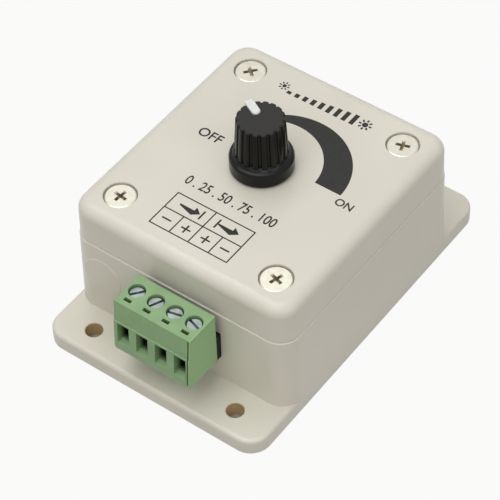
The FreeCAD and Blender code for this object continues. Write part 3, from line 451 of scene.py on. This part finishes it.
knob_black = new_material("moulded ABS black", "#0B0B0A", IOR=1.53, Specular_IOR_Level=0.18)
spot = add_node(knob_black, "ShaderNodeTexCoord").outputs["Object"]
height = add_node(knob_black, "ShaderNodeSeparateXYZ", links={"Vector": spot}).outputs["Z"]
matte_from = box_mm("knob_body")[1].z - matte_top_depth
matte_top_and_painted_sheen = add_node(knob_black, "ShaderNodeMath", {"operation": "GREATER_THAN", 1: matte_from * MM},
                  {0: height}).outputs[0]
# The top's lighter grey is painted sheen, and the same mask gives the matte top its real roughness.
paint_over(knob_black, matte_top_and_painted_sheen, "#302F2E")
gloss = add_node(knob_black, "ShaderNodeMapRange", {"To Min": 0.22, "To Max": 0.6},
                 {"Value": matte_top_and_painted_sheen})
vary(knob_black, "Roughness", gloss.outputs["Result"])
grain(knob_black, size_mm=0.3, depth_mm=0.004)
finish_with(knob_black, "knob_body")

# %% [markdown]
# The pointer is a white moulding of its own that is pressed into the knob. It is ABS too, with a
# plain even gloss.

# %% Pointer
pointer_white = new_material("moulded ABS white", "#DEDFDB", Roughness=0.35, IOR=1.53)
paint_over(pointer_white, patches(pointer_white, size_mm=1.5), "#E6E7E3")
grain(pointer_white, size_mm=0.3, depth_mm=0.005)
finish_with(pointer_white, "knob_pointer")

# %% [markdown]
# ## Terminal plug: green polyamide
# Pluggable terminals are moulded in polyamide. Its surface is slightly waxy and is a little
# lighter where the mould was worn, so the colour drifts and the gloss is broad. The right end face
# is painted a shade lighter: painted light, where the lamps fall on that side.

# %% Green polyamide
end_fade = (0.3, 0.1)  # how far in the lighter shade starts and where it is full

plug_green = new_material("moulded polyamide green", "#7EA06F", IOR=1.53)
plug_low, plug_high = box_mm("plug_housing")
# Painted light: the right end face, which the lamps light, is made lighter.
painted_light_end_face = fade(plug_green, "X", plug_high.x - end_fade[0], plug_high.x - end_fade[1])
paint_over(plug_green, patches(plug_green, size_mm=3.0, detail=3.0), "#89A97A")
paint_over(plug_green, painted_light_end_face, "#97BC87")
vary(plug_green, "Roughness", patches(plug_green, size_mm=1.0, low=0.4, high=0.55))
grain(plug_green, size_mm=0.25, depth_mm=0.006)
finish_with(plug_green, "plug_housing")

# %% [markdown]
# The wire mouths, the screw wells and the test slots lie in deep shade, and that shade is painted:
# the green turns dark with depth. How deep a point lies is read from its distance to the front face
# and to the top face. That is done only near the line of a pole, which leaves the outer skin
# unshaded, and a remainder by the pitch gives all four poles the same place in their cell. Each pair
# of depths says how far in from its face the painted shade starts and where it is darkest.

# %% Painted shade in the mouths and wells
well_half = 2.05
mouth_fade = (1.3, 2.6)
well_fade = (0.2, 1.6)
skin_fade = (0.1, 0.6)

first_pole = sum(corner.x for corner in box_mm(f"plug_screw_{poles[0]}")) / 2
last_pole = sum(corner.x for corner in box_mm(f"plug_screw_{poles[-1]}")) / 2
pole_pitch = (last_pole - first_pole) / (len(poles) - 1)
spot = add_node(plug_green, "ShaderNodeTexCoord").outputs["Object"]
along = add_node(plug_green, "ShaderNodeSeparateXYZ", links={"Vector": spot}).outputs["X"]
from_edge = add_node(plug_green, "ShaderNodeMath",
                     {"operation": "SUBTRACT", 1: (first_pole - pole_pitch / 2) * MM}, {0: along})
in_cell = add_node(plug_green, "ShaderNodeMath",
                   {"operation": "FLOORED_MODULO", 1: pole_pitch * MM}, {0: from_edge.outputs[0]})
painted_shade = add_node(plug_green, "ShaderNodeMath",
                {"operation": "COMPARE", 1: pole_pitch / 2 * MM, 2: well_half * MM},
                {0: in_cell.outputs[0]})
depths = (fade(plug_green, "Y", plug_low.y + mouth_fade[0], plug_low.y + mouth_fade[1]),
          fade(plug_green, "Y", plug_high.y - skin_fade[0], plug_high.y - skin_fade[1]),
          fade(plug_green, "Z", plug_high.z - well_fade[0], plug_high.z - well_fade[1]),
          fade(plug_green, "Z", plug_low.z + skin_fade[0], plug_low.z + skin_fade[1]))
for depth in depths:
    painted_shade = add_node(plug_green, "ShaderNodeMath", {"operation": "MULTIPLY"},
                    {0: painted_shade.outputs[0], 1: depth})
# The dark green is painted shade deep in the mouths, the wells and the slots.
paint_over(plug_green, painted_shade.outputs[0], "#0C130A")
print(len(poles), "poles,", round(pole_pitch, 2), "mm apart")

# %% [markdown]
# The header that the plug sits in is soldered to the board, so it is moulded in a polyester that
# stands the heat. It is black and rather dull, and only its edge shows while the plug is in.

# %% Black polyester
header_black = new_material("moulded polyester black", "#0A0A0A", Roughness=0.55, IOR=1.55,
                            Specular_IOR_Level=0.2)
paint_over(header_black, patches(header_black, size_mm=2.0), "#111110")
grain(header_black, size_mm=0.25, depth_mm=0.005)
finish_with(header_black, "terminal_header")

# %% [markdown]
# ## Softened edges
# Moulded edges are never quite sharp, and a rounded edge catches a thin line of light. The plug,
# its header and the pointer come with plain edges. They could be rounded in the CAD, but the
# radius is so small that it would only make the solids heavy. Three modifiers round them here: one
# joins the triangles' corners, one merges the triangles of each flat face, and the last cuts the
# edges that are left.

# %% Softened edges
weld_distance = 0.002
flat_within = math.radians(1)
sharp_from = math.radians(35)
edge_segments = 3

for name, edge_mm in (("plug_housing", 0.16), ("terminal_header", 0.1), ("knob_pointer", 0.3)):
    weld = NODES[name].modifiers.new("joined corners", "WELD")
    weld.merge_threshold = weld_distance * MM
    flats = NODES[name].modifiers.new("merged flats", "DECIMATE")
    flats.decimate_type = "DISSOLVE"
    flats.angle_limit = flat_within
    edges = NODES[name].modifiers.new("rounded edges", "BEVEL")
    edges.width = edge_mm * MM
    edges.segments = edge_segments
    edges.limit_method = "ANGLE"
    edges.angle_limit = sharp_from
    edges.use_clamp_overlap = True
    print(name, "edges rounded by", edge_mm, "mm")

# %% [markdown]
# ## Tinned brass: pins, contacts and leads
# Brass is dipped in tin so that it takes solder. The coat is pale and slightly uneven, with a
# trace of the yellow metal where it is thin. One in-between tone would look like neither metal, so
# a pattern mixes the two.

# %% Tinned brass
tinned = new_material("tinned brass", "#C9C7BF", Metallic=1.0)
paint_over(tinned, patches(tinned, size_mm=0.7, detail=3.0), "#B9AE93")
vary(tinned, "Roughness", patches(tinned, size_mm=0.35, low=0.22, high=0.42))
finish_with(tinned, "header_pins", "plug_contacts", "pot_pins", "transistor_tabs",
            "transistor_leads", "capacitor_leads", "timer_chip_leads", "regulator_leads",
            "power_diode_leads", "signal_diode_leads", "resistor_leads", "ceramic_capacitor_leads")

# %% [markdown]
# ## Inside: the circuit board
# Nobody sees the inside through the closed box, but the part comes apart, so each piece has its
# own finish. Most of them are moulded, dipped or plated, and one function serves them all: two
# close tones, a slight grain and an uneven gloss. The board is glass laminate under green lacquer.
# Its copper tracks show through as a lighter green, drawn as the joints of a brick pattern.

# %% Circuit board
track_pitch, track_width = 7.0, 0.05
gloss_drift = 0.06


def plain_finish(name, first, second, roughness, grain_mm=0.3, depth_mm=0.004, drift_mm=2.5,
                 **values):
    """A simple moulded, dipped or plated finish between two close tones."""
    material = new_material(name, first, **values)
    paint_over(material, patches(material, drift_mm, detail=3.0), second)
    vary(material, "Roughness",
         patches(material, drift_mm / 2, roughness - gloss_drift, roughness + gloss_drift))
    grain(material, grain_mm, depth_mm)
    return material


board_green = plain_finish("lacquered glass laminate", "#1E5A2E", "#256B38", 0.3, IOR=1.5)
spot = add_node(board_green, "ShaderNodeTexCoord").outputs["Object"]
tracks = add_node(board_green, "ShaderNodeTexBrick",
                  {"Scale": repeat_every(track_pitch), "Mortar Size": track_width,
                   "Mortar Smooth": 0.0}, {"Vector": spot})
paint_over(board_green, tracks.outputs["Fac"], "#3E8148")
finish_with(board_green, "circuit_board")

# %% [markdown]
# ## Inside: resistors and diodes
# Resistors are dipped in tan enamel and carry rings of colour that give their value. Diodes have
# one band at the end where the current leaves. The rings could be thin solids of their own, but
# they are only paint. All these pieces lie along X, so a ring is a narrow range of X.

# %% Rings and bands
ring_width, first_ring, ring_pitch, last_ring = 0.5, -1.9, 1.1, 2.0
value_rings = ("#5A3218", "#161412", "#C2581E")
diode_band, diode_band_width = 1.5, 1.0
glass_band, glass_band_width = 0.8, 0.6


def ring(material, middle_mm, width_mm, hex_colour):
    """Paints a ring around the pieces that lie along X."""
    spot = add_node(material, "ShaderNodeTexCoord").outputs["Object"]
    along = add_node(material, "ShaderNodeSeparateXYZ", links={"Vector": spot}).outputs["X"]
    within = add_node(material, "ShaderNodeMath",
                      {"operation": "COMPARE", 1: middle_mm * MM, 2: width_mm / 2 * MM}, {0: along})
    paint_over(material, within.outputs[0], hex_colour)


diode_black = plain_finish("moulded epoxy diode", "#151516", "#1E1E20", 0.5, IOR=1.55)
ring(diode_black, box_mm("power_diode")[0].x + diode_band, diode_band_width, "#B9BABA")
finish_with(diode_black, "power_diode")

enamel = plain_finish("dipped enamel tan", "#BFA172", "#CCB083", 0.35, IOR=1.5)
resistor_middle = sum(corner.x for corner in box_mm("resistors")) / 2
for number, ring_colour in enumerate(value_rings):
    ring(enamel, resistor_middle + first_ring + number * ring_pitch, ring_width, ring_colour)
ring(enamel, resistor_middle + last_ring, ring_width, "#A98A45")
finish_with(enamel, "resistors")

diode_glass = plain_finish("sealed diode glass", "#B4522C", "#C26437", 0.1, IOR=1.5,
                           Transmission_Weight=0.4)
ring(diode_glass, box_mm("signal_diodes")[0].x + glass_band, glass_band_width, "#141414")
finish_with(diode_glass, "signal_diodes")

# %% [markdown]
# ## Inside: chips, capacitors and potentiometer
# The chips are moulded in black epoxy and are dull. The large capacitors wear a glossy dark blue
# sleeve over a rubber seal that takes nearly all light, and the small ones are dipped in orange
# lacquer. The potentiometer is a bright plated case over brown pressed laminate, with a turned
# aluminium shaft, a waxy white rotor and a yellow spring brass wiper. None of them is seen from
# near by, so the plain finish is enough.

# %% Chips, capacitors and potentiometer
finish_with(plain_finish("moulded epoxy black", "#151516", "#1E1E20", 0.5, IOR=1.55),
            "transistor_bodies", "timer_chip", "regulator")
finish_with(plain_finish("shrunk PVC sleeve", "#1A2140", "#222B52", 0.25, IOR=1.53),
            "capacitor_cans")
finish_with(plain_finish("moulded rubber seal", "#1B1B1B", "#242423", 0.7, IOR=1.52),
            "capacitor_seals")
finish_with(plain_finish("dipped ceramic lacquer", "#BE7431", "#C9823D", 0.45, IOR=1.5),
            "ceramic_capacitors")
finish_with(plain_finish("plated steel case", "#B3B1AB", "#C4C2BD", 0.32, Metallic=1.0),
            "pot_can", "pot_bushing")
finish_with(plain_finish("pressed laminate brown", "#6B4528", "#7B5232", 0.55, IOR=1.5),
            "pot_wafer")
finish_with(plain_finish("turned aluminium", "#C6C6C4", "#D4D4D2", 0.28, Metallic=1.0),
            "pot_shaft")
finish_with(plain_finish("moulded polyacetal white", "#D3D0C4", "#DCD9CF", 0.4, IOR=1.48),
            "pot_rotor")
finish_with(plain_finish("rolled spring brass", "#C5A25C", "#D2B06A", 0.3, Metallic=1.0),
            "pot_wiper")

# %% [markdown]
# ## Printing on the cover
# The marks are pad-printed: a film of ink a few hundredths of a millimetre thick. They could be
# painted in the cover's material, but then their edges would be as coarse as a texture. So each
# mark is a flat outline that is filled and given that thickness, which is real geometry. Outlines
# are drawn in millimetres on the cover's top, seen from above.

# %% Ink
ink_thickness = 0.02
cover_top = box_mm("cover")[1].z

ink = plain_finish("pad printing ink", "#1B1B18", "#23231F", 0.5, grain_mm=0.15, depth_mm=0.003,
                   drift_mm=0.9, IOR=1.5, Specular_IOR_Level=0.3)
print(ink.name, ink_thickness, "mm thick,", round(cover_top, 2), "mm up")

# %% [markdown]
# A filled curve does the filling: a closed line inside another one becomes a hole in it. The curve
# is then turned to a mesh, lifted to the cover's top and made to ride on the housing.

# %% A film of ink
stroke_width = 0.42


def outline_curve(name, outlines):
    """A flat curve of closed outlines."""
    curve = bpy.data.curves.new(name, "CURVE")
    curve.dimensions = "2D"
    for outline in outlines:
        spline = curve.splines.new("POLY")
        spline.points.add(len(outline) - 1)
        for point, (x, y) in zip(spline.points, outline):
            point.co = (x * MM, y * MM, 0, 1)
        spline.use_cyclic_u = True
    return curve


def film_mesh(curve):
    """A mesh that fills a flat curve and is as thick as the ink."""
    curve.fill_mode = "BOTH"
    curve.extrude = ink_thickness / 2 * MM
    drawn = bpy.data.objects.new(curve.name, curve)
    bpy.context.scene.collection.objects.link(drawn)
    bpy.context.view_layer.update()
    mesh = bpy.data.meshes.new_from_object(drawn)
    bpy.data.objects.remove(drawn)
    return mesh


def lay_on_cover(name, mesh):
    """Puts a film of ink on the cover's top, where it moves with the housing."""
    mesh.transform(Matrix.Translation((0, 0, (cover_top + ink_thickness / 2) * MM)))
    mesh.materials.clear()
    mesh.materials.append(ink)
    piece = bpy.data.objects.new(name, mesh)
    bpy.context.scene.collection.objects.link(piece)
    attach(piece, "housing")
    print(name, len(mesh.vertices), "points")


def printed(name, outlines):
    """A mark of ink inside closed outlines."""
    lay_on_cover(name, film_mesh(outline_curve(name, outlines)))


print("strokes are", stroke_width, "mm wide")

# %% [markdown]
# ## Level mark
# The level mark is a horn-shaped band that grows from a point on the OFF side to a broad end at
# ON. It could be drawn point by point, but its outer and inner edges are simply arcs of two
# circles with different centres.

# %% Level mark
outer_centre, outer_r = (2.48, 3.09), 15.78
inner_centre, inner_r = (-0.97, 2.67), 12.51


def arc_points(centre, radius, start_deg, end_deg, steps):
    """Points along an arc, from one angle to another."""
    x, y = centre
    turn = (end_deg - start_deg) / steps
    angles = [math.radians(start_deg + turn * number) for number in range(steps + 1)]
    return [(x + radius * math.cos(angle), y + radius * math.sin(angle)) for angle in angles]


outer_arc = arc_points(outer_centre, outer_r, start_deg=0.5, end_deg=140, steps=48)
inner_arc = arc_points(inner_centre, inner_r, start_deg=131, end_deg=2.5, steps=40)
printed("level_mark", [outer_arc + inner_arc])

# %% [markdown]
# ## Words and figures
# The letters could be drawn as outlines too, but a text object has them ready. Its proportions
# aren't those of the print, so each word is stretched to a box that gives its left and right end
# and its lower and upper edge. A font's size is about 1.4 times the height of its capitals, which
# makes the stretch small. Ink spreads a little as it is pressed on, so the letters are swollen by
# a few hundredths of a millimetre.

# %% Words and figures
letter_swell = 0.045
size_for_height = 1.4


def fit_to_box(mesh, left, right, low, high):
    """Moves and stretches a flat mesh so that it fills a box, given in millimetres."""
    xs = [vertex.co.x for vertex in mesh.vertices]
    ys = [vertex.co.y for vertex in mesh.vertices]
    stretch = Matrix.Diagonal(((right - left) * MM / (max(xs) - min(xs)),
                               (high - low) * MM / (max(ys) - min(ys)), 1, 1))
    mesh.transform(Matrix.Translation((left * MM, low * MM, 0)) @ stretch
                   @ Matrix.Translation((-min(xs), -min(ys), 0)))


def printed_word(name, word, left, right, low, high):
    """A word of ink that fills a box."""
    curve = bpy.data.curves.new(name, "FONT")
    curve.body = word
    curve.size = (high - low) * size_for_height * MM
    curve.offset = letter_swell * MM
    mesh = film_mesh(curve)
    fit_to_box(mesh, left, right, low, high)
    lay_on_cover(name, mesh)


printed_word("off_word", "OFF", left=-18.6, right=-12.5, low=0.6, high=3.2)
printed_word("on_word", "ON", left=18.3, right=22.6, low=0.4, high=2.5)
printed_word("scale_figures", "0 . 25 . 50 . 75 . 100", left=-11.9, right=11.8,
             low=-12.9, high=-10.2)

# %% [markdown]
# ## Brightness ramp
# Along the back edge runs a plain sign for what the knob does: a small sun, bars that grow, and a
# large sun. A sun is a disc with straight strokes around it, and one function draws both sizes.

# %% Suns
ramp_left, ramp_right = -12.65, 12.2
ramp_low, ramp_high = 22.3, 25.6
small_sun_in = 1.3
disc_points = 24
rays = 8


def bar(start, end, width=stroke_width):
    """The outline of a straight stroke with square ends."""
    start, end = Vector(start), Vector(end)
    along = (end - start).normalized() * width / 2
    side = along.orthogonal()
    corners = (start - along - side, end + along - side, end + along + side, start - along + side)
    return [tuple(corner) for corner in corners]


def sun(x, y, disc_r, ray_start, ray_end, width=stroke_width):
    """A disc with rays."""
    disc_step = 360 / disc_points
    outlines = [arc_points((x, y), disc_r, 0, 360 - disc_step, disc_points - 1)]
    centre = Vector((x, y))
    for number in range(rays):
        angle = number * 2 * math.pi / rays
        out = Vector((math.cos(angle), math.sin(angle)))
        outlines.append(bar(centre + out * ray_start, centre + out * ray_end, width))
    return outlines


ramp_middle = (ramp_low + ramp_high) / 2
large_sun_r = (ramp_high - ramp_low) / 2
printed("dim_mark", sun(ramp_left + small_sun_in, ramp_middle, disc_r=0.5, ray_start=0.9,
                        ray_end=1.15, width=0.32))
printed("bright_mark", sun(ramp_right - large_sun_r, ramp_middle, disc_r=0.72, ray_start=1.15,
                           ray_end=large_sun_r - stroke_width / 2))

# %% [markdown]
# The bars stand on one line and grow in even steps from the small sun to the large one. A loop
# places them, so that their number can be changed in one place.

# %% Growing bars
ramp_bars = 9
bar_width = 1.1
lowest_bar = 0.9
first_bar_in, last_bar_gap = 3.4, 1.3


def rectangle(left, right, low, high):
    """The outline of a rectangle."""
    return [(left, low), (right, low), (right, high), (left, high)]


first_bar, last_bar = ramp_left + first_bar_in, ramp_right - 2 * large_sun_r - last_bar_gap
bars = []
for number in range(ramp_bars):
    step = number / (ramp_bars - 1)
    x = first_bar + (last_bar - first_bar) * step
    tall = lowest_bar + (ramp_high - ramp_low - lowest_bar) * step
    bars.append(rectangle(x - bar_width / 2, x + bar_width / 2, ramp_low, ramp_low + tall))
printed("ramp_bars", bars)

# %% [markdown]
# ## Table over the terminals
# The table is ruled with thin lines. Its upper row has an arrow for each side, and the lower row
# has the sign of each pole. Single lines would overlap where they cross, so the grid is one plate
# of ink with a window for each cell.

# %% Table over the terminals
table_left, table_right = -10.85, 9.65
table_bottom, table_middle, table_top = -26.2, -20.9, -15.95
table_centre = -0.55
table_columns = (-5.55, 4.8)
line_width = 0.3

upper_edges = [table_left, table_centre, table_right]
lower_edges = [table_left, table_columns[0], table_centre, table_columns[1], table_right]
half_line = line_width / 2
grid = [rectangle(table_left - half_line, table_right + half_line,
                  table_bottom - half_line, table_top + half_line)]
for edges, low, high in ((upper_edges, table_middle, table_top),
                         (lower_edges, table_bottom, table_middle)):
    for left, right in zip(edges, edges[1:]):
        grid.append(rectangle(left + half_line, right - half_line, low + half_line, high - half_line))
printed("table_grid", grid)

# %% [markdown]
# The left arrow runs up to a short stop and is the input, and the right one leaves its stop and is
# the output. The poles' signs are plain strokes. A plus is a minus with two more strokes that end
# at it, because strokes that cross would cut a hole in each other.

# %% Arrows and signs in the table
arrow_length = 5.2
head_length, head_half = 1.7, 1.25
stop_gap, stop_half = 0.45, 1.15
sign_half = 1.0
arrow_y = (table_middle + table_top) / 2
sign_y = (table_bottom + table_middle) / 2


def arrow(tip, tail):
    """An arrow from tail to tip, with a filled head."""
    end, start = Vector(tip), Vector(tail)
    along = (end - start).normalized()
    side = along.orthogonal()
    neck = end - along * head_length
    head = [tuple(end), tuple(neck + side * head_half), tuple(neck - side * head_half)]
    return [bar(start, neck - along * stroke_width / 2), head]


in_x = (table_left + table_centre) / 2
out_x = (table_centre + table_right) / 2
for name, x, stop_side in (("in_arrow", in_x, 1), ("out_arrow", out_x, -1)):
    stop_x = x + stop_side * (arrow_length / 2 + stop_gap)
    stop = bar((stop_x, arrow_y - stop_half), (stop_x, arrow_y + stop_half))
    printed(name, arrow((x + arrow_length / 2, arrow_y), (x - arrow_length / 2, arrow_y)) + [stop])

for number, sign in enumerate("-++-"):
    x = (lower_edges[number] + lower_edges[number + 1]) / 2
    strokes = [bar((x - sign_half, sign_y), (x + sign_half, sign_y))]
    for side in (1, -1) if sign == "+" else ():
        strokes.append(bar((x, sign_y + side * stroke_width), (x, sign_y + side * sign_half)))
    printed(f"pole_sign_{number + 1}", strokes)
